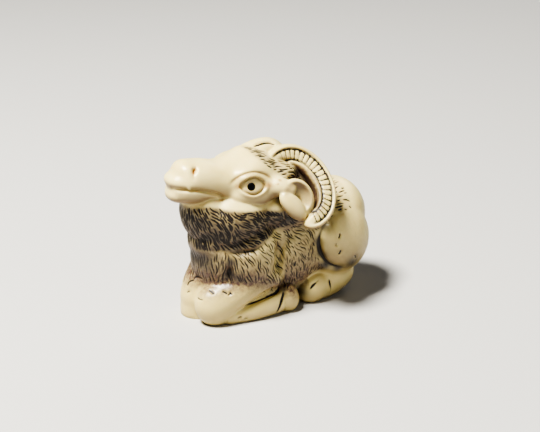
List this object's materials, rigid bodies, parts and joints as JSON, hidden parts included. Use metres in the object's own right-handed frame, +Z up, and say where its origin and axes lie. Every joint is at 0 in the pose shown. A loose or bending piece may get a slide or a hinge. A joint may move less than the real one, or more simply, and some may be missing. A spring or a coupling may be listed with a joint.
{
  "type": "reclining ram netsuke figurine",
  "caption": "Reclining ram with curled horns, raised head and folded legs, cast in one piece of ivory-coloured resin.",
  "frame": {"origin": "centre of the bounding box's bottom face, on the surface the figure rests on", "axes": "+Z up; -X the way the ram faces; -Y its left side, the one the picture shows; +X longest extent"},
  "size_m": [0.0488, 0.0284, 0.0379],
  "materials": {
    "resin": "semi-gloss cast resin, ivory-coloured, with a brown-black stain in the carving"
  },
  "bodies": {
    "root": {"ram": "resin"}
  },
  "joints": []
}
